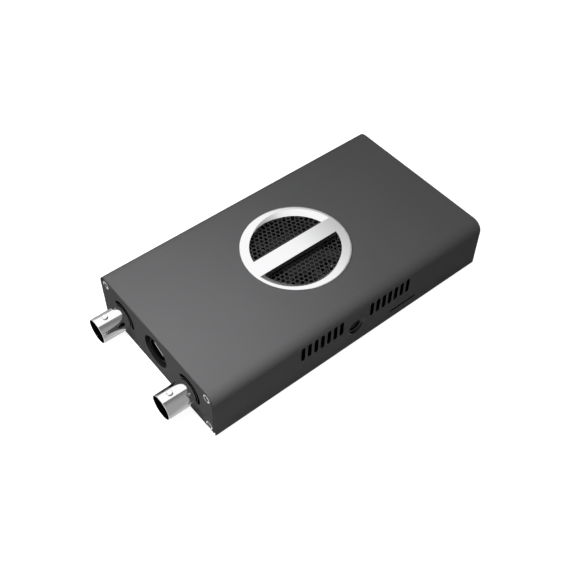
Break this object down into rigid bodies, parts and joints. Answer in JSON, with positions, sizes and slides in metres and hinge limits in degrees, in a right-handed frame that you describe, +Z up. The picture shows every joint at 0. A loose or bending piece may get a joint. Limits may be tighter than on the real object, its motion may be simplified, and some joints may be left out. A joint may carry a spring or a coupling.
{
  "type": "video encoder",
  "caption": "Flat charcoal metal box that turns a video signal into a network stream: coaxial jacks and a round socket in front, vented sides, a fan under a bright ring on top.",
  "frame": {"origin": "middle of the underside", "axes": "+Z up; -Y is the front with the coaxial jacks, +Y the rear with the network socket; +X the right side with the camera thread and the card slot"},
  "size_m": [0.069, 0.1363, 0.0228],
  "materials": {
    "satin_charcoal": "fine satin powder coat",
    "bright_ring": "bright satin metal",
    "dark_mesh": "dark pierced sheet",
    "screw_steel": "plain turned steel",
    "bush_steel": "dark coated bush",
    "nickel": "polished nickel plate",
    "white_insulator": "pale insulator",
    "gold_contact": "gold plate",
    "jack_base_metal": "cast zinc",
    "guide_black": "dark clear plastic",
    "socket_black": "moulded black plastic",
    "socket_steel": "bright plated sheet",
    "fan_black": "moulded black plastic",
    "blade_grey": "semi-gloss grey plastic",
    "bronze_bearing": "sintered bronze",
    "shaft_steel": "ground steel",
    "magnet_dark": "bonded ferrite",
    "stator_steel": "stacked sheet steel",
    "coil_copper": "enamelled copper",
    "lead_black": "insulated wire",
    "sink_aluminium": "plain aluminium",
    "pad_grey": "soft heat-conducting pad",
    "board_green": "solder-masked glass board",
    "spacer_brass": "turned brass",
    "chip_black": "moulded chip",
    "transformer_tape": "taped winding",
    "inductor_grey": "moulded ferrite",
    "capacitor_can": "drawn aluminium can",
    "pipe_clear": "clear plastic",
    "led_white": "white light",
    "button_black": "black plastic",
    "switch_black": "black plastic"
  },
  "bodies": {
    "housing": {"sleeve": "satin_charcoal", "front_plate": "satin_charcoal", "rear_plate": "satin_charcoal", "grille_ring": "bright_ring", "grille_mesh": "dark_mesh", "front_screws": "screw_steel", "rear_screws": "screw_steel", "board_screws": "screw_steel", "heatsink_screws": "screw_steel", "fan_screws": "screw_steel", "tripod_insert": "bush_steel", "bnc_shell_left": "nickel", "bnc_shell_right": "nickel", "bnc_insulator_left": "white_insulator", "bnc_insulator_right": "white_insulator", "bnc_contact_left": "gold_contact", "bnc_contact_right": "gold_contact", "ethernet_contacts": "gold_contact", "bnc_base_left": "jack_base_metal", "bnc_base_right": "jack_base_metal", "light_guide_left": "guide_black", "light_guide_right": "guide_black", "din_body": "socket_black", "din_insert": "socket_black", "ethernet_insert": "socket_black", "fan_header": "socket_black", "usb_tongue": "socket_black", "din_shield": "socket_steel", "ethernet_shield": "socket_steel", "usb_shell": "socket_steel", "card_socket": "socket_steel", "fan_frame": "fan_black", "fan_bearing": "bronze_bearing", "fan_stator": "stator_steel", "fan_coils": "coil_copper", "fan_lead": "lead_black", "heatsink": "sink_aluminium", "thermal_pad": "pad_grey", "main_board": "board_green", "board_spacers": "spacer_brass", "board_nuts": "spacer_brass", "processor_chip": "chip_black", "memory_chips": "chip_black", "network_chip": "chip_black", "power_transformer": "transformer_tape", "power_inductors": "inductor_grey", "board_capacitors": "capacitor_can", "status_light_pipes": "pipe_clear", "status_leds": "led_white", "reset_switch": "switch_black"},
    "rotor": {"fan_rotor": "blade_grey", "fan_shaft": "shaft_steel", "fan_magnet": "magnet_dark"},
    "button": {"reset_button": "button_black"}
  },
  "joints": [
    {"name": "fan_spin", "type": "hinge", "parent": "housing", "child": "rotor", "pos_m": [0, 0, 0.0163], "axis": [0, 0, 1], "continuous": true},
    {"name": "reset_press", "type": "slide", "parent": "housing", "child": "button", "axis": [0, -1, 0], "range_m": [0, 0.0005], "stiffness_N_per_m": 800}
  ]
}
